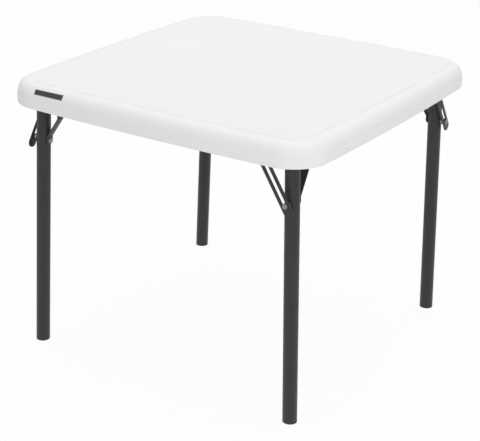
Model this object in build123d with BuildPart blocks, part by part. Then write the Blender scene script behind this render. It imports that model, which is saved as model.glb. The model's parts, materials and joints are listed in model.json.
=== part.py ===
from build123d import *
import os
from math import atan2, cos, degrees, hypot, radians, sin, tan

# A square folding card table for children: a moulded top on four round legs, which fold flat
# under it one after another, each pointing along the side of the square that follows it.
# The origin is on the floor under the middle of the top. Z points up, and the four corners are
# one corner turned about Z, so a corner is drawn once, at the back left.
# Lengths are in millimetres and angles in degrees.

# Table as a whole
table_width = 620.0
table_height = 500.0
overrun = 2.0
running_fit = 0.08
seat_fit = 0.05
body_gap = 0.3

# Top: a hollow moulding with a skirt all round
rim_depth = 41.0
deck_thickness = 25.0
side_bow = 7.0
corner_radius = 65.0
edge_round = 17.0
field_inset = 19.0
field_step = 0.8
skirt_wall = 13.0
skirt_band = 15.0
skirt_step = 1.2
skirt_round = 2.5
pocket_radius = 12.0
pocket_depth = 6.0
pocket_taper = 30.0
pocket_spacing = 90.0
pocket_rows = 5

# Legs
tube_diameter = 25.0
tube_wall = 1.2
leg_splay = 2.1
side_splay = 0.9
leg_end_inset = 58.0
leg_side_inset = 55.0
hinge_below_skirt = 2.0
tube_over_hinge = 8.0
cap_base = 3.0
cap_plug = 18.0
cap_wall = 2.0

# Hinge of a leg: a folded bracket with two ears, and a rod through them
rod_diameter = 8.0
rod_head_diameter = 12.0
rod_head_height = 1.4
plate_thickness = 2.0
ear_thickness = 2.4
ear_radius = 10.0
ear_width = 44.0
outer_ear_gap = 1.5
plate_front = 40.0
plate_back = 23.0
plate_round = 5.0

# Brace of a leg: a bent flat strap from the inner end of the hinge rod to the leg
brace_width = 15.0
brace_thickness = 2.0
brace_eye_reach = 36.0
brace_eye_length = 24.0
brace_flange_rise = 8.0
brace_bend_radius = 4.0

# Lock pin through the leg, and the slotted strap that it runs in
pin_drop = 68.5
pin_diameter = 6.0
pin_shoulder_diameter = 11.0
rivet_head_diameter = 10.0
rivet_head_height = 2.4
rivet_head_chamfer = 1.4
strap_width = 18.0
strap_thickness = 2.0
strap_gap = 7.5
strap_tail = 20.0
slot_width = 6.0
slot_spare = 9.0
button_shank_diameter = 5.0

# Hanger that carries the upper end of the lock strap
anchor_forward = 44.0
anchor_over_hinge = 4.5
anchor_rivet_diameter = 6.0
anchor_head_diameter = 11.0
anchor_head_height = 1.5
hanger_thickness = 2.2
hanger_ear_radius = 8.0
hanger_length = 40.0
hanger_plate_width = 15.0

# Screws that hold the brackets under the deck
screw_diameter = 4.0
screw_head_diameter = 8.0
screw_head_height = 2.0
screw_length = 12.0
screw_edge = 6.5
screw_head_chamfer = 0.6

# Heights that follow
skirt_bottom = table_height - rim_depth
deck_bottom = table_height - deck_thickness
hinge_height = skirt_bottom - hinge_below_skirt
tube_radius = tube_diameter / 2


def turned(frame, angle):
    """A frame turned about its own y axis, from z towards x."""
    own_y = Axis((0, 0, 0), frame.y_dir)
    return Plane(frame.origin, x_dir=frame.x_dir.rotate(own_y, angle), z_dir=frame.z_dir.rotate(own_y, angle))


# The hinge of the back left leg, and the frames that its pieces are drawn in. In each frame x
# points where the leg folds to, y points out through the nearer side of the table, z points up.
# The hinge axis is tipped by side_splay, so that the leg also leans out to the side. The deck
# frame is level, and lies on the deck where the z axis of the hinge frame meets it.
lean = radians(leg_splay)
hinge_x = leg_end_inset - table_width / 2
hinge_y = table_width / 2 - leg_side_inset
hinge_frame = Plane((hinge_x, hinge_y, hinge_height)).rotated((side_splay, 0, 0))
leg_frame = turned(hinge_frame, leg_splay)
leg_length = hinge_height / leg_frame.z_dir.Z
tube_end = leg_length - cap_base
deck_rise = deck_bottom - hinge_height
deck_frame = Plane((hinge_x, hinge_y - deck_rise * tan(radians(side_splay)), deck_bottom))

# Places across the leg, measured outwards from its axis
outer_ear_face = tube_radius + outer_ear_gap
strap_face = tube_radius + strap_gap + body_gap
hanger_face = strap_face - body_gap - hanger_thickness
button_face = strap_face + strap_thickness + body_gap
flange_face = -tube_radius - seat_fit
inner_ear_face = -brace_eye_reach - brace_thickness - body_gap

# The lock strap turns about an anchor on the hanger. Its pin is on the leg, so the strap turns
# from the pin's first direction to its last one while the leg folds level under the top.
fold_angle = 90 + leg_splay
pin_rest = (-pin_drop * sin(lean) - anchor_forward, -pin_drop * cos(lean) - anchor_over_hinge)
pin_folded = (pin_drop - anchor_forward, -anchor_over_hinge)
reach_rest = hypot(*pin_rest)
reach_folded = hypot(*pin_folded)
angle_rest = degrees(atan2(pin_rest[1], pin_rest[0]))
angle_folded = degrees(atan2(pin_folded[1], pin_folded[0]))
strap_turn = angle_folded - angle_rest
anchor = hinge_frame.from_local_coords((anchor_forward, 0, anchor_over_hinge))
anchor_frame = Plane(anchor, x_dir=hinge_frame.x_dir, z_dir=hinge_frame.z_dir)
strap_frame = turned(anchor_frame, -angle_rest)
strap_direction = strap_frame.x_dir

# Screws of one corner, as x and y in the deck frame
plate_inner = inner_ear_face - ear_thickness
plate_outer = outer_ear_face + ear_thickness
plate_screws = [
    (x, y)
    for x in (screw_edge - plate_back, plate_front - screw_edge)
    for y in (plate_inner + ear_thickness + screw_edge, plate_outer - ear_thickness - screw_edge)
]
hanger_screws = [
    (anchor_forward + side * (hanger_length / 2 - screw_edge), hanger_face + hanger_plate_width - screw_edge)
    for side in (-1, 1)
]
corner_turns = {"back_left": 0, "front_left": 90, "front_right": 180, "back_right": 270}


def side_plane(frame, out):
    """The plane across a frame at a distance out, seen from outside with the frame's z up."""
    return Plane(frame.from_local_coords((0, out, 0)), x_dir=frame.x_dir, z_dir=-frame.y_dir)


def plan(inset):
    """The table seen from above, drawn in by inset: four bowed sides with round corners."""
    reach = table_width / 2 - inset
    corner = reach - side_bow
    with BuildSketch() as face:
        with BuildLine():
            ThreePointArc((corner, -corner), (reach, 0), (corner, corner))
            ThreePointArc((corner, corner), (0, reach), (-corner, corner))
            ThreePointArc((-corner, corner), (-reach, 0), (-corner, -corner))
            ThreePointArc((-corner, -corner), (0, -reach), (corner, -corner))
        make_face()
        fillet(face.vertices(), corner_radius - inset)
    return face.sketch


def screw_places():
    """Where every screw enters the deck, for all four corners, as points on the XY plane."""
    places = []
    for turn in corner_turns.values():
        for x, y in plate_screws + hanger_screws:
            place = deck_frame.from_local_coords((x, y, 0))
            places.append(Vector(place.X, place.Y).rotate(Axis.Z, turn))
    return places


# Table top: skirt whose lower band stands out, rounded shoulder, raised field, and underneath a
# recess, whose ceiling has rows of shallow moulded pockets
with BuildPart() as table_top:
    with BuildSketch(Plane.XY.offset(skirt_bottom)):
        add(plan(0))
    extrude(amount=skirt_band)
    with BuildSketch(Plane.XY.offset(skirt_bottom + skirt_band)):
        add(plan(skirt_step))
    extrude(amount=rim_depth - skirt_band - field_step)
    fillet(table_top.faces().sort_by(Axis.Z)[-1].edges(), edge_round)
    with BuildSketch(Plane.XY.offset(table_height - field_step)):
        add(plan(field_inset))
    extrude(amount=field_step)
    with BuildSketch(Plane.XY.offset(skirt_bottom)):
        add(plan(skirt_wall))
    extrude(amount=deck_bottom - skirt_bottom, mode=Mode.SUBTRACT)
    fillet(table_top.faces().sort_by(Axis.Z)[0].edges(), skirt_round)
    with BuildSketch(Plane.XY.offset(deck_bottom)):
        with Locations(*screw_places()):
            Circle(screw_diameter / 2 + seat_fit)
    extrude(amount=screw_length, mode=Mode.SUBTRACT)
    with BuildSketch(Plane.XY.offset(deck_bottom)):
        with GridLocations(pocket_spacing, pocket_spacing, pocket_rows, pocket_rows):
            Circle(pocket_radius)
    extrude(amount=pocket_depth, taper=pocket_taper, mode=Mode.SUBTRACT)

# Leg tube, straight cut, drilled for the hinge rod and the lock pin
with BuildPart() as leg_tube:
    with BuildSketch(leg_frame.offset(-tube_end)):
        Circle(tube_radius)
        Circle(tube_radius - tube_wall, mode=Mode.SUBTRACT)
    extrude(amount=tube_end + tube_over_hinge)
    with BuildSketch(side_plane(leg_frame, 0)):
        Circle(rod_diameter / 2 + running_fit)
        with Locations((0, -pin_drop)):
            Circle(pin_diameter / 2 + seat_fit)
    extrude(amount=tube_radius + overrun, both=True, mode=Mode.SUBTRACT)

# Foot cap, a hollow plug with a base that is cut level with the floor
with BuildPart() as foot_cap:
    with BuildSketch(leg_frame.offset(-leg_length - overrun)):
        Circle(tube_radius)
    extrude(amount=cap_base + overrun)
    split(bisect_by=Plane.XY, keep=Keep.TOP)
    with BuildSketch(leg_frame.offset(-tube_end)):
        Circle(tube_radius - tube_wall - seat_fit)
    extrude(amount=cap_plug)
    with BuildSketch(leg_frame.offset(-tube_end)):
        Circle(tube_radius - tube_wall - cap_wall)
    extrude(amount=cap_plug, mode=Mode.SUBTRACT)

# Leg brace, a flat strap bent twice, with an eye on the hinge rod and a flange on the leg
brace_bends = [
    (flange_face, -pin_drop - brace_width / 2 - overrun),
    (flange_face, brace_flange_rise - pin_drop),
    (-brace_eye_reach, -brace_eye_length),
    (-brace_eye_reach, brace_width / 2 + overrun),
]
brace_side = Plane(
    leg_frame.from_local_coords((-brace_width / 2, 0, 0)), x_dir=leg_frame.y_dir, z_dir=leg_frame.x_dir
)
with BuildPart() as leg_brace:
    with BuildSketch(brace_side):
        with BuildLine():
            FilletPolyline(*brace_bends, radius=brace_bend_radius)
            offset(amount=brace_thickness, side=Side.LEFT)
        make_face()
    extrude(amount=brace_width)
    with BuildSketch(side_plane(leg_frame, 0)):
        with Locations((0, -pin_drop / 2)):
            SlotCenterToCenter(pin_drop, brace_width, rotation=90)
    extrude(amount=brace_eye_reach + brace_thickness + overrun, mode=Mode.INTERSECT)
    with BuildSketch(side_plane(leg_frame, 0)):
        Circle(rod_diameter / 2 + running_fit)
        with Locations((0, -pin_drop)):
            Circle(pin_diameter / 2 + seat_fit)
    extrude(amount=brace_eye_reach + brace_thickness + overrun, mode=Mode.SUBTRACT)

# Lock pin, through the leg and the brace, with a shoulder under the strap and a domed head inside
with BuildPart() as lock_pin:
    with BuildSketch(side_plane(leg_frame, strap_face - body_gap)):
        with Locations((0, -pin_drop)):
            Circle(pin_diameter / 2)
    extrude(amount=strap_face - body_gap - flange_face + brace_thickness)
    with BuildSketch(side_plane(leg_frame, strap_face - body_gap)):
        with Locations((0, -pin_drop)):
            Circle(pin_shoulder_diameter / 2)
    extrude(amount=strap_gap - seat_fit)
    with BuildSketch(side_plane(leg_frame, flange_face - brace_thickness)):
        with Locations((0, -pin_drop)):
            Circle(rivet_head_diameter / 2)
    extrude(amount=rivet_head_height)
    chamfer(lock_pin.edges().sort_by(Axis.Y)[0], rivet_head_chamfer)

# Hinge bracket, a channel over the leg with two ears that carry the rod
with BuildPart() as hinge_bracket:
    with BuildSketch(deck_frame):
        with Locations(((plate_front - plate_back) / 2, (plate_inner + plate_outer) / 2)):
            RectangleRounded(plate_front + plate_back, plate_outer - plate_inner, plate_round)
    extrude(amount=-plate_thickness)
    for face_out in (plate_outer, inner_ear_face):
        with BuildSketch(side_plane(hinge_frame, face_out)):
            Circle(ear_radius)
            with Locations((0, deck_rise - plate_thickness / 2)):
                Rectangle(ear_width, plate_thickness)
            make_hull()
            Circle(rod_diameter / 2 + seat_fit, mode=Mode.SUBTRACT)
        extrude(amount=ear_thickness)
    split(bisect_by=deck_frame, keep=Keep.BOTTOM)
    with BuildSketch(deck_frame):
        with Locations(*plate_screws):
            Circle(screw_diameter / 2 + seat_fit)
    extrude(amount=-plate_thickness, mode=Mode.SUBTRACT)

# Hinge rod with a head at each end, outside the ears
with BuildPart() as hinge_rod:
    with BuildSketch(side_plane(hinge_frame, plate_outer + rod_head_height)):
        Circle(rod_head_diameter / 2)
    extrude(amount=rod_head_height)
    with BuildSketch(side_plane(hinge_frame, plate_outer)):
        Circle(rod_diameter / 2)
    extrude(amount=plate_outer - plate_inner)
    with BuildSketch(side_plane(hinge_frame, plate_inner)):
        Circle(rod_head_diameter / 2)
    extrude(amount=rod_head_height)

# Strap hanger, an angle bracket with one rounded ear
with BuildPart() as strap_hanger:
    with BuildSketch(deck_frame):
        with Locations((anchor_forward, hanger_face + hanger_plate_width / 2)):
            Rectangle(hanger_length, hanger_plate_width)
    extrude(amount=-plate_thickness)
    with BuildSketch(side_plane(anchor_frame, hanger_face + hanger_thickness)):
        Circle(hanger_ear_radius)
        with Locations((0, deck_rise - anchor_over_hinge - plate_thickness / 2)):
            Rectangle(hanger_length, plate_thickness)
        make_hull()
        Circle(anchor_rivet_diameter / 2 + seat_fit, mode=Mode.SUBTRACT)
    extrude(amount=hanger_thickness)
    split(bisect_by=deck_frame, keep=Keep.BOTTOM)
    with BuildSketch(deck_frame):
        with Locations(*hanger_screws):
            Circle(screw_diameter / 2 + seat_fit)
    extrude(amount=-plate_thickness, mode=Mode.SUBTRACT)

# Hanger rivet, which the upper end of the lock strap turns on
with BuildPart() as hanger_rivet:
    with BuildSketch(side_plane(anchor_frame, button_face + anchor_head_height)):
        Circle(anchor_head_diameter / 2)
    extrude(amount=anchor_head_height)
    with BuildSketch(side_plane(anchor_frame, button_face)):
        Circle(anchor_rivet_diameter / 2)
    extrude(amount=button_face - hanger_face)
    with BuildSketch(side_plane(anchor_frame, hanger_face)):
        Circle(anchor_head_diameter / 2)
    extrude(amount=anchor_head_height)

# Lock strap, a flat bar with round ends, an eye on the hanger rivet and a long slot for the button
strap_reach = reach_rest + strap_tail - strap_width / 2
with BuildPart() as lock_strap:
    with BuildSketch(side_plane(strap_frame, strap_face + strap_thickness)):
        with Locations((strap_reach / 2, 0)):
            SlotCenterToCenter(strap_reach, strap_width)
        Circle(anchor_rivet_diameter / 2 + running_fit, mode=Mode.SUBTRACT)
        with Locations(((reach_rest + reach_folded - slot_spare) / 2, 0)):
            SlotCenterToCenter(reach_rest - reach_folded + slot_spare, slot_width, mode=Mode.SUBTRACT)
    extrude(amount=strap_thickness)

# Lock button, the domed outer head of the lock pin, which travels along the slot
with BuildPart() as lock_button:
    with BuildSketch(side_plane(strap_frame, button_face + rivet_head_height)):
        with Locations((reach_rest, 0)):
            Circle(rivet_head_diameter / 2)
    extrude(amount=rivet_head_height)
    chamfer(lock_button.edges().sort_by(Axis.Y)[-1], rivet_head_chamfer)
    with BuildSketch(side_plane(strap_frame, button_face)):
        with Locations((reach_rest, 0)):
            Circle(button_shank_diameter / 2)
    extrude(amount=button_face - strap_face)

# Screws, one set for all brackets
with BuildPart() as bracket_screws:
    with BuildSketch(Plane.XY.offset(deck_bottom - plate_thickness)):
        with Locations(*screw_places()):
            Circle(screw_head_diameter / 2)
    extrude(amount=-screw_head_height)
    chamfer(bracket_screws.faces().group_by(Axis.Z)[0].edges(), screw_head_chamfer)
    with BuildSketch(Plane.XY.offset(deck_bottom - plate_thickness)):
        with Locations(*screw_places()):
            Circle(screw_diameter / 2)
    extrude(amount=screw_length)

os.makedirs("parts", exist_ok=True)
table_top.part.label = "table_top"
bracket_screws.part.label = "bracket_screws"
export_step(table_top.part, "parts/table_top.step")
export_step(bracket_screws.part, "parts/bracket_screws.step")

# The pieces of a corner, turned to each of the four corners
corner_pieces = {
    "leg_tube": leg_tube,
    "foot_cap": foot_cap,
    "leg_brace": leg_brace,
    "lock_pin": lock_pin,
    "hinge_bracket": hinge_bracket,
    "hinge_rod": hinge_rod,
    "strap_hanger": strap_hanger,
    "hanger_rivet": hanger_rivet,
    "lock_strap": lock_strap,
    "lock_button": lock_button,
}
for corner, turn in corner_turns.items():
    for piece_name, piece in corner_pieces.items():
        turned = piece.part.rotate(Axis.Z, turn)
        turned.label = f"{corner}_{piece_name}"
        export_step(turned, f"parts/{turned.label}.step")

print("fold", fold_angle, "strap turn", strap_turn, "ratio", strap_turn / fold_angle)
print("button travel", reach_rest - reach_folded, "reach", reach_rest, reach_folded)
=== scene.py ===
import json
import math

import bmesh
import bpy
from mathutils import Matrix, Vector

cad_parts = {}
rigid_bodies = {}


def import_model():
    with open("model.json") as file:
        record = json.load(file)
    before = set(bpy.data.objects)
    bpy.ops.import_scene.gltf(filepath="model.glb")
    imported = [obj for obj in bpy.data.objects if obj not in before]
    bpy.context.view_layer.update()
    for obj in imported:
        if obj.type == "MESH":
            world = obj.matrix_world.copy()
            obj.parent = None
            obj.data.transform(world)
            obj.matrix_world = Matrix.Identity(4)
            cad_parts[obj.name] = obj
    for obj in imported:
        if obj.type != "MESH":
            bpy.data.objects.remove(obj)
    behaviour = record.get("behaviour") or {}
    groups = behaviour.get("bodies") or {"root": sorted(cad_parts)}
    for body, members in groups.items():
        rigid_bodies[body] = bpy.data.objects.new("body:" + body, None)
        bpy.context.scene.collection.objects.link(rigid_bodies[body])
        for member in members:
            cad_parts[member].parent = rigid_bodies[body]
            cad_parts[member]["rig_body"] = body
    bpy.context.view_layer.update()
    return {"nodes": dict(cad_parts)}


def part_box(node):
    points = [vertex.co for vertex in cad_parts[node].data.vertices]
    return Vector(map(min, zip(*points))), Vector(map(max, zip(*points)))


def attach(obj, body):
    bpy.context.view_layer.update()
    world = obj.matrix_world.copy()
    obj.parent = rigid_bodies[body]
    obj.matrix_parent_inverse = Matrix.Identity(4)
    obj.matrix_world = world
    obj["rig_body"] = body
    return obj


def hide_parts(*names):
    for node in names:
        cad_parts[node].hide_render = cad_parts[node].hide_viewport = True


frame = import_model()
corners = ("back_left", "front_left", "front_right", "back_right")
# Places closer together than this are taken as one
same_place = 0.0001

# Moulded top
# One hollow blow-moulded shell of white polyethylene. A rounded shoulder runs all round the flat
# field, with a low crest and a groove between, and the band along the foot of the skirt stands
# out. Underneath, rows of pockets are moulded up into the deck to stiffen it.
top_low, top_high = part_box("table_top")
side_bow = 0.007
side_cuts = 23
corner_radius = 0.0615
corner_segments = 20
band_height = 0.015
band_step = 0.0009
band_lip = 0.0006
band_draft = 0.0004
shoulder_across = 0.0180
shoulder_turns = 18
crest_width = 0.0033
crest_rise = 0.0003
crest_drop = 0.0002
groove_width = 0.0010
groove_depth = 0.0009
skirt_wall = 0.013
skirt_round = 0.0025
recess_round = 0.004
round_turns = 6
deck_bottom = 0.475
pocket_radius = 0.012
pocket_depth = 0.006
pocket_taper = math.radians(30)
pocket_spacing = 0.090
pocket_rows = 5
pocket_sides = 40
pocket_round = 0.0012
smooth_angle = math.radians(35)


def select_where(piece, kind, chosen):
    """In edit mode, selects those verts, edges or faces for which chosen is true."""
    bpy.ops.mesh.select_all(action="DESELECT")
    mesh = bmesh.from_edit_mesh(piece.data)
    for element in getattr(mesh, kind):
        if chosen(element):
            element.select_set(True)
    bmesh.update_edit_mesh(piece.data)


def select_level(piece, height, side):
    """In edit mode, selects the flat faces at one height that look up, side 1, or down, side -1."""
    select_where(
        piece,
        "faces",
        lambda face: face.normal.z * side > 0.9
        and abs(face.calc_center_median().z - height) < same_place,
    )


def step_in(across, along):
    """Insets the selected level face by a distance, and moves it out by another."""
    bpy.ops.mesh.inset(thickness=across, depth=along, use_even_offset=True)


def step_round(across_radius, along_radius, turns, depth_first):
    """Rounds the edge of the selected level face by insets along a quarter of an ellipse."""
    for step in range(turns):
        a = step / turns * math.pi / 2
        b = (step + 1) / turns * math.pi / 2
        if depth_first:
            across = across_radius * (math.cos(a) - math.cos(b))
            along = along_radius * (math.sin(b) - math.sin(a))
        else:
            across = across_radius * (math.sin(b) - math.sin(a))
            along = along_radius * (math.cos(a) - math.cos(b))
        step_in(across, along)


reach = top_high.x
corner_reach = reach - side_bow
ledge = top_low.z + band_height
bpy.ops.mesh.primitive_cube_add(
    size=1,
    location=(0, 0, ledge + band_lip / 2),
    scale=(2 * corner_reach, 2 * corner_reach, band_lip),
)
top = bpy.context.object
top.name = "moulded_top"
bpy.ops.object.transform_apply(location=True, rotation=False, scale=True)
bpy.ops.object.mode_set(mode="EDIT")
bpy.ops.mesh.select_mode(type="EDGE")
# A thin slab: its four corners are rounded, its sides are cut up, and their middles pulled out
select_where(top, "edges", lambda edge: edge.calc_length() < 2 * band_lip)
bpy.ops.mesh.bevel(offset=corner_radius, segments=corner_segments, affect="EDGES")
select_where(top, "edges", lambda edge: edge.calc_length() > corner_radius)
bpy.ops.mesh.subdivide(number_cuts=side_cuts)
bpy.ops.mesh.select_mode(type="VERT")
for direction in (Vector((1, 0, 0)), Vector((0, 1, 0)), Vector((-1, 0, 0)), Vector((0, -1, 0))):
    side_middle = direction.xy * corner_reach
    select_where(top, "verts", lambda vert: (vert.co.xy - side_middle).length < same_place)
    bpy.ops.transform.translate(
        value=direction * side_bow,
        use_proportional_edit=True,
        proportional_edit_falloff="INVERSE_SQUARE",
        proportional_size=corner_reach,
    )
# From the ledge of the band up over the shoulder, and through the groove to the field
select_level(top, ledge + band_lip, 1)
step_in(band_step, band_lip)
shoulder_foot = ledge + 2 * band_lip
shoulder_rise = top_high.z - crest_drop - 1.5 * crest_rise - shoulder_foot
step_round(shoulder_across, shoulder_rise, shoulder_turns, True)
for width, rise in (
    (crest_width, crest_rise),
    (crest_width, crest_rise / 2),
    (groove_width, -groove_depth),
    (groove_width / 2, 0),
    (groove_width, groove_depth + crest_drop),
):
    step_in(width, rise)
# From the ledge down round the foot of the skirt and into the recess under the deck
select_level(top, ledge, -1)
step_in(band_draft, band_height - skirt_round)
step_round(skirt_round, skirt_round, round_turns, True)
step_in(skirt_wall - band_draft - 2 * skirt_round, 0)
step_round(skirt_round, -skirt_round, round_turns, False)
step_in(0, -(deck_bottom - top_low.z - skirt_round - recess_round))
step_round(recess_round, -recess_round, round_turns, True)
bpy.ops.object.mode_set(mode="OBJECT")
# The pockets are cut by a tapered plug with a rounded nose, repeated in rows
first_pocket = -pocket_spacing * (pocket_rows - 1) / 2
bpy.ops.mesh.primitive_cone_add(
    vertices=pocket_sides,
    radius1=pocket_radius + pocket_depth * math.tan(pocket_taper),
    radius2=pocket_radius - pocket_depth * math.tan(pocket_taper),
    depth=2 * pocket_depth,
    location=(first_pocket, first_pocket, deck_bottom),
)
plug = bpy.context.object
bpy.ops.object.transform_apply(location=True, rotation=False, scale=False)
bpy.ops.object.mode_set(mode="EDIT")
select_level(plug, deck_bottom + pocket_depth, 1)
bpy.ops.mesh.bevel(offset=pocket_round, segments=3, affect="EDGES")
bpy.ops.object.mode_set(mode="OBJECT")
for direction in ((pocket_spacing, 0, 0), (0, pocket_spacing, 0)):
    rows = plug.modifiers.new("rows", "ARRAY")
    rows.count = pocket_rows
    rows.use_relative_offset = False
    rows.use_constant_offset = True
    rows.constant_offset_displace = direction
    bpy.ops.object.modifier_apply(modifier=rows.name)
bpy.ops.object.select_all(action="DESELECT")
top.select_set(True)
bpy.context.view_layer.objects.active = top
cut = top.modifiers.new("pockets", "BOOLEAN")
cut.operation = "DIFFERENCE"
cut.solver = "EXACT"
cut.object = plug
bpy.ops.object.modifier_apply(modifier=cut.name)
bpy.data.objects.remove(plug)


def on_pocket_rim(edge):
    """Whether an edge lies in the rim of a pocket, level with the deck's underside."""
    middle = (edge.verts[0].co + edge.verts[1].co).xy / 2
    off_centre = Vector([math.remainder(place, pocket_spacing) for place in middle])
    level = all(abs(vert.co.z - deck_bottom) < same_place for vert in edge.verts)
    return level and abs(off_centre.length - pocket_radius) < same_place and edge.is_manifold


bpy.ops.object.mode_set(mode="EDIT")
bpy.ops.mesh.select_mode(type="EDGE")
select_where(top, "edges", on_pocket_rim)
bpy.ops.mesh.bevel(offset=pocket_round / 2, segments=2, affect="EDGES")
bpy.ops.mesh.select_mode(type="VERT")
bpy.ops.object.mode_set(mode="OBJECT")
bpy.ops.object.shade_smooth_by_angle(angle=smooth_angle)


def add_node(tree, kind, place, **settings):
    """Adds a shader node at a place in its tree and sets its named properties."""
    node = tree.nodes.new(kind)
    node.location = place
    for name, value in settings.items():
        setattr(node, name, value)
    return node


def new_material(name):
    """Returns a new material, its tree of an output and a Principled BSDF, and the BSDF."""
    material = bpy.data.materials.new(name)
    material.use_nodes = True
    tree = material.node_tree
    tree.nodes.clear()
    output = add_node(tree, "ShaderNodeOutputMaterial", (900, 0))
    surface = add_node(tree, "ShaderNodeBsdfPrincipled", (600, 0))
    tree.links.new(surface.outputs["BSDF"], output.inputs["Surface"])
    return material, tree, surface


def grain_group():
    """Moulded or sprayed grain: a fine height, and a slow mottle, both from Object coordinates."""
    group = bpy.data.node_groups.new("surface_grain", "ShaderNodeTree")
    for name, usual in (("Grain per metre", 900.0), ("Mottle per metre", 14.0)):
        socket = group.interface.new_socket(name, in_out="INPUT", socket_type="NodeSocketFloat")
        socket.default_value = usual
    for name in ("Height", "Mottle"):
        group.interface.new_socket(name, in_out="OUTPUT", socket_type="NodeSocketFloat")
    inlet = add_node(group, "NodeGroupInput", (-800, 0))
    outlet = add_node(group, "NodeGroupOutput", (600, 0))
    place = add_node(group, "ShaderNodeTexCoord", (-800, -250))
    fine = add_node(group, "ShaderNodeTexNoise", (-300, 150))
    fine.inputs["Detail"].default_value = 3.0
    fine.inputs["Roughness"].default_value = 0.55
    cells = add_node(group, "ShaderNodeTexVoronoi", (-300, -120), feature="SMOOTH_F1")
    cells.inputs["Smoothness"].default_value = 0.7
    slow = add_node(group, "ShaderNodeTexNoise", (-300, -400))
    slow.inputs["Detail"].default_value = 4.0
    mix = add_node(group, "ShaderNodeMath", (100, 100), operation="MULTIPLY_ADD")
    mix.inputs[1].default_value = 0.6
    for texture in (fine, cells, slow):
        group.links.new(place.outputs["Object"], texture.inputs["Vector"])
    group.links.new(inlet.outputs["Grain per metre"], fine.inputs["Scale"])
    group.links.new(inlet.outputs["Grain per metre"], cells.inputs["Scale"])
    group.links.new(inlet.outputs["Mottle per metre"], slow.inputs["Scale"])
    group.links.new(cells.outputs["Distance"], mix.inputs[0])
    group.links.new(fine.outputs["Fac"], mix.inputs[2])
    group.links.new(mix.outputs["Value"], outlet.inputs["Height"])
    group.links.new(slow.outputs["Fac"], outlet.inputs["Mottle"])
    return group


surface_grain = grain_group()


def grained(tree, surface, grain, mottle, depth, strength, colors, roughness):
    """Gives a surface its grain: bump, and a colour and a roughness that drift with the mottle."""
    source = add_node(tree, "ShaderNodeGroup", (-500, 0), node_tree=surface_grain)
    source.inputs["Grain per metre"].default_value = grain
    source.inputs["Mottle per metre"].default_value = mottle
    tint = add_node(tree, "ShaderNodeMix", (-150, 200), data_type="RGBA")
    tint.inputs["A"].default_value = (*colors[0], 1)
    tint.inputs["B"].default_value = (*colors[1], 1)
    gloss = add_node(tree, "ShaderNodeMapRange", (-150, -50))
    gloss.inputs["To Min"].default_value = roughness[0]
    gloss.inputs["To Max"].default_value = roughness[1]
    bump = add_node(tree, "ShaderNodeBump", (-150, -350))
    bump.inputs["Strength"].default_value = strength
    bump.inputs["Distance"].default_value = depth
    tree.links.new(source.outputs["Mottle"], tint.inputs["Factor"])
    tree.links.new(source.outputs["Mottle"], gloss.inputs["Value"])
    tree.links.new(source.outputs["Height"], bump.inputs["Height"])
    tree.links.new(tint.outputs["Result"], surface.inputs["Base Color"])
    tree.links.new(gloss.outputs["Result"], surface.inputs["Roughness"])
    tree.links.new(bump.outputs["Normal"], surface.inputs["Normal"])


polyethylene, tree, surface = new_material("white_polyethylene")
grained(
    tree,
    surface,
    grain=620,
    mottle=9,
    depth=0.00012,
    strength=0.5,
    colors=((0.845, 0.840, 0.857), (0.818, 0.813, 0.830)),
    roughness=(0.44, 0.52),
)
surface.inputs["Specular IOR Level"].default_value = 0.25
top.data.materials.append(polyethylene)
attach(top, "table")
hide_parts("table_top")

# Badge plate
# A thin plastic label of one dark colour with a pale border. It is stuck on the rounded shoulder
# at the left end of the front side, and follows its curve. Its field is bare.
badge_middle_x = -0.2013
badge_width = 0.062
badge_height = 0.0105
badge_turn = math.radians(41)
badge_angle = math.atan(math.tan(badge_turn) * shoulder_across / shoulder_rise)
badge_thickness = 0.0004
badge_border = 0.0008
badge_cuts = (60, 10)
shoulder_centre = reach - band_step - side_bow * (badge_middle_x / reach) ** 2 - shoulder_across
bpy.ops.mesh.primitive_grid_add(
    x_subdivisions=badge_cuts[0],
    y_subdivisions=badge_cuts[1],
    size=1,
    location=(
        badge_middle_x,
        -shoulder_centre - (shoulder_across + badge_thickness) * math.cos(badge_turn),
        shoulder_foot + (shoulder_rise + badge_thickness) * math.sin(badge_turn),
    ),
    rotation=(math.pi / 2 - badge_angle, 0, 0),
)
badge = bpy.context.object
badge.name = "badge_plate"
badge.scale = (badge_width, badge_height, 1)
bpy.ops.object.transform_apply(location=True, rotation=True, scale=True)
bpy.ops.object.mode_set(mode="EDIT")
bpy.ops.mesh.select_all(action="SELECT")
bpy.ops.mesh.inset(thickness=badge_border, depth=0)
bpy.ops.object.mode_set(mode="OBJECT")
wrap = badge.modifiers.new("onto_shoulder", "SHRINKWRAP")
wrap.target = top
wrap.wrap_method = "TARGET_PROJECT"
wrap.wrap_mode = "ABOVE_SURFACE"
wrap.offset = badge_thickness / 2
bpy.ops.object.modifier_apply(modifier=wrap.name)
for name, colors in (
    ("label_pale_border", ((0.34, 0.34, 0.345), (0.29, 0.29, 0.295))),
    ("label_black", ((0.016, 0.016, 0.017), (0.028, 0.028, 0.030))),
):
    label, tree, surface = new_material(name)
    grained(
        tree,
        surface,
        grain=700,
        mottle=40,
        depth=0.00003,
        strength=0.3,
        colors=colors,
        roughness=(0.28, 0.36),
    )
    badge.data.materials.append(label)
for face in badge.data.polygons:
    face.material_index = 1 if face.select else 0
wall = badge.modifiers.new("label_thickness", "SOLIDIFY")
wall.thickness = badge_thickness
wall.offset = -1
bpy.ops.object.modifier_apply(modifier=wall.name)
bpy.ops.object.shade_smooth_by_angle(angle=math.radians(40))
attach(badge, "table")

# Legs, braces, straps and brackets
# Steel tube and strip, cut, bent and drilled, with broken edges, then sprayed with charcoal
# powder and baked. The coat is semi-gloss with a slight orange peel.


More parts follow.
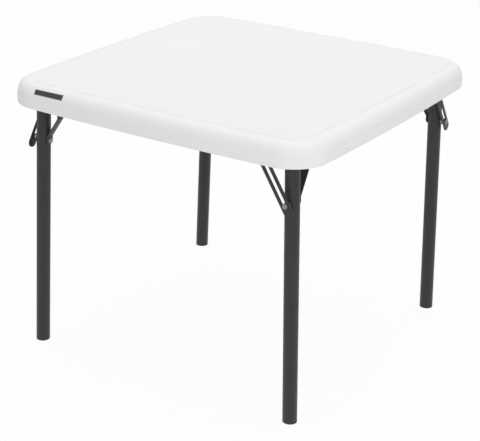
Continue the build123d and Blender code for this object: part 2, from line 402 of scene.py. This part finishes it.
def finished_copy(node, material, edge):
    """A CAD piece with its mesh merged and its edges broken, in its finish, on its own body."""
    source = frame["nodes"][node]
    piece = bpy.data.objects.new(node + "_finished", source.data.copy())
    bpy.context.scene.collection.objects.link(piece)
    bpy.ops.object.select_all(action="DESELECT")
    piece.select_set(True)
    bpy.context.view_layer.objects.active = piece
    bpy.ops.mesh.customdata_custom_splitnormals_clear()
    bpy.ops.object.mode_set(mode="EDIT")
    bpy.ops.mesh.select_all(action="SELECT")
    bpy.ops.mesh.remove_doubles(threshold=0.00002)
    bpy.ops.mesh.dissolve_limited(angle_limit=math.radians(1))
    bpy.ops.object.mode_set(mode="OBJECT")
    bevel = piece.modifiers.new("broken_edges", "BEVEL")
    bevel.width = edge
    bevel.segments = 3
    bevel.limit_method = "ANGLE"
    bevel.angle_limit = math.radians(40)
    bevel.use_clamp_overlap = True
    bpy.ops.object.modifier_apply(modifier=bevel.name)
    bpy.ops.object.shade_smooth_by_angle(angle=smooth_angle)
    piece.data.materials.clear()
    piece.data.materials.append(material)
    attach(piece, source["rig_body"])
    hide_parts(node)


powder_coat, tree, surface = new_material("charcoal_powder_coat")
grained(
    tree,
    surface,
    grain=1500,
    mottle=30,
    depth=0.00004,
    strength=0.35,
    colors=((0.036, 0.036, 0.038), (0.028, 0.028, 0.030)),
    roughness=(0.36, 0.48),
)
surface.inputs["Specular IOR Level"].default_value = 0.3
for corner in corners:
    for part in ("leg_tube", "leg_brace", "lock_strap", "hinge_bracket", "strap_hanger"):
        finished_copy(f"{corner}_{part}", powder_coat, edge=0.0004)

# Foot caps
# Hard black mouldings pushed into the open ends of the legs, matt and a little cloudy.
cap_plastic, tree, surface = new_material("black_cap_plastic")
grained(
    tree,
    surface,
    grain=900,
    mottle=60,
    depth=0.00006,
    strength=0.5,
    colors=((0.022, 0.022, 0.023), (0.045, 0.044, 0.043)),
    roughness=(0.5, 0.72),
)
for corner in corners:
    finished_copy(f"{corner}_foot_cap", cap_plastic, edge=0.0003)

# Hinge rods, lock pins, buttons, rivets and screws
# Turned and headed steel with a zinc plating that is a little clouded.
zinc, tree, surface = new_material("bright_zinc")
grained(
    tree,
    surface,
    grain=2600,
    mottle=160,
    depth=0.00003,
    strength=0.4,
    colors=((0.30, 0.30, 0.305), (0.21, 0.21, 0.215)),
    roughness=(0.32, 0.48),
)
surface.inputs["Metallic"].default_value = 1.0
for corner in corners:
    for part, slot, edge in (
        ("hinge_rod", "rod_steel", 0.0005),
        ("lock_pin", "rivet_steel", 0.0009),
        ("lock_button", "rivet_steel", 0.0009),
        ("hanger_rivet", "rivet_steel", 0.0005),
    ):
        finished_copy(f"{corner}_{part}", zinc, edge)
finished_copy("bracket_screws", zinc, edge=0.0002)

# Stage: floor and backdrop
# A plain white studio. To the camera the floor is nearly pure white and keeps a soft shadow. In
# its light on the table the backdrop is dimmer than it looks.
floor_size = 24
floor_drop = 0.0005
floor_glow_share = 0.95
air_strength = 0.55


def looked_at(tree):
    """A value that is 1 to the camera and in reflections, and 0 where a surface gathers light."""
    path = add_node(tree, "ShaderNodeLightPath", (100, 300))
    either = add_node(tree, "ShaderNodeMath", (350, 300), operation="MAXIMUM")
    tree.links.new(path.outputs["Is Camera Ray"], either.inputs[0])
    tree.links.new(path.outputs["Is Glossy Ray"], either.inputs[1])
    return either.outputs["Value"]


bpy.ops.mesh.primitive_plane_add(size=floor_size, location=(0, 0, -floor_drop))
floor = bpy.context.object
floor.name = "studio_floor"
floor_white, tree, surface = new_material("studio_white")
surface.inputs["Base Color"].default_value = (0.9, 0.9, 0.9, 1)
surface.inputs["Roughness"].default_value = 0.8
surface.inputs["Specular IOR Level"].default_value = 0.1
glow = add_node(tree, "ShaderNodeEmission", (600, -250))
share = add_node(tree, "ShaderNodeMath", (600, 300), operation="MULTIPLY")
share.inputs[1].default_value = floor_glow_share
mixed = add_node(tree, "ShaderNodeMixShader", (800, 100))
tree.links.new(looked_at(tree), share.inputs[0])
tree.links.new(share.outputs["Value"], mixed.inputs["Fac"])
tree.links.new(surface.outputs["BSDF"], mixed.inputs[1])
tree.links.new(glow.outputs["Emission"], mixed.inputs[2])
tree.links.new(mixed.outputs["Shader"], tree.nodes["Material Output"].inputs["Surface"])
floor.data.materials.append(floor_white)

world = bpy.data.worlds.new("studio_air")
bpy.context.scene.world = world
world.use_nodes = True
tree = world.node_tree
tree.nodes.clear()
air = add_node(tree, "ShaderNodeBackground", (350, 100))
air.inputs["Color"].default_value = (1, 1, 1, 1)
air.inputs["Strength"].default_value = air_strength
backdrop = add_node(tree, "ShaderNodeBackground", (350, -100))
backdrop.inputs["Color"].default_value = (1, 1, 1, 1)
mixed = add_node(tree, "ShaderNodeMixShader", (600, 0))
output = add_node(tree, "ShaderNodeOutputWorld", (800, 0))
tree.links.new(looked_at(tree), mixed.inputs["Fac"])
tree.links.new(air.outputs["Background"], mixed.inputs[1])
tree.links.new(backdrop.outputs["Background"], mixed.inputs[2])
tree.links.new(mixed.outputs["Shader"], output.inputs["Surface"])

# Stage: lamps
# Two large soft lamps: one over the table and a little behind it, one in front of the near corner.
# The low front lamp stays out of reflections, or it would glare on the top seen from behind.


def add_lamp(name, place, target, size, power, color, mirrored):
    """A square area lamp at a place, turned to a target, and seen in gloss or not."""
    bpy.ops.object.light_add(type="AREA", location=place)
    lamp = bpy.context.object
    lamp.name = name
    lamp.data.size = size
    lamp.data.energy = power
    lamp.data.color = color
    lamp.visible_glossy = mirrored
    lamp.rotation_euler = (Vector(target) - Vector(place)).to_track_quat("-Z", "Y").to_euler()


table_middle = (0, 0, 0.4)
add_lamp(
    "top_lamp", (-0.3, 0.4, 3.6), table_middle, size=3.0, power=58, color=(1, 1, 1), mirrored=True
)
add_lamp(
    "front_lamp",
    (2.7, -2.45, 1.2),
    table_middle,
    size=2.0,
    power=36,
    color=(1, 0.99, 0.99),
    mirrored=False,
)

# Stage: camera
# Where the photograph was taken from, found from the outline of the top: a long lens, tilted
# down 22.6 degrees and rolled a little.
camera_place = (1.2808, -2.0185, 1.2057)
focal_length = 104.55
film_width = 36
right = Vector((0.8385, 0.5446, 0.0206))
up = Vector((-0.2257, 0.3125, 0.9228))
turned = Matrix((right, up, right.cross(up))).transposed().to_4x4()
bpy.ops.object.camera_add()
camera = bpy.context.object
camera.matrix_world = Matrix.Translation(camera_place) @ turned
camera.data.sensor_width = film_width
camera.data.lens = focal_length
bpy.context.scene.camera = camera
bpy.context.scene.view_settings.view_transform = "Standard"
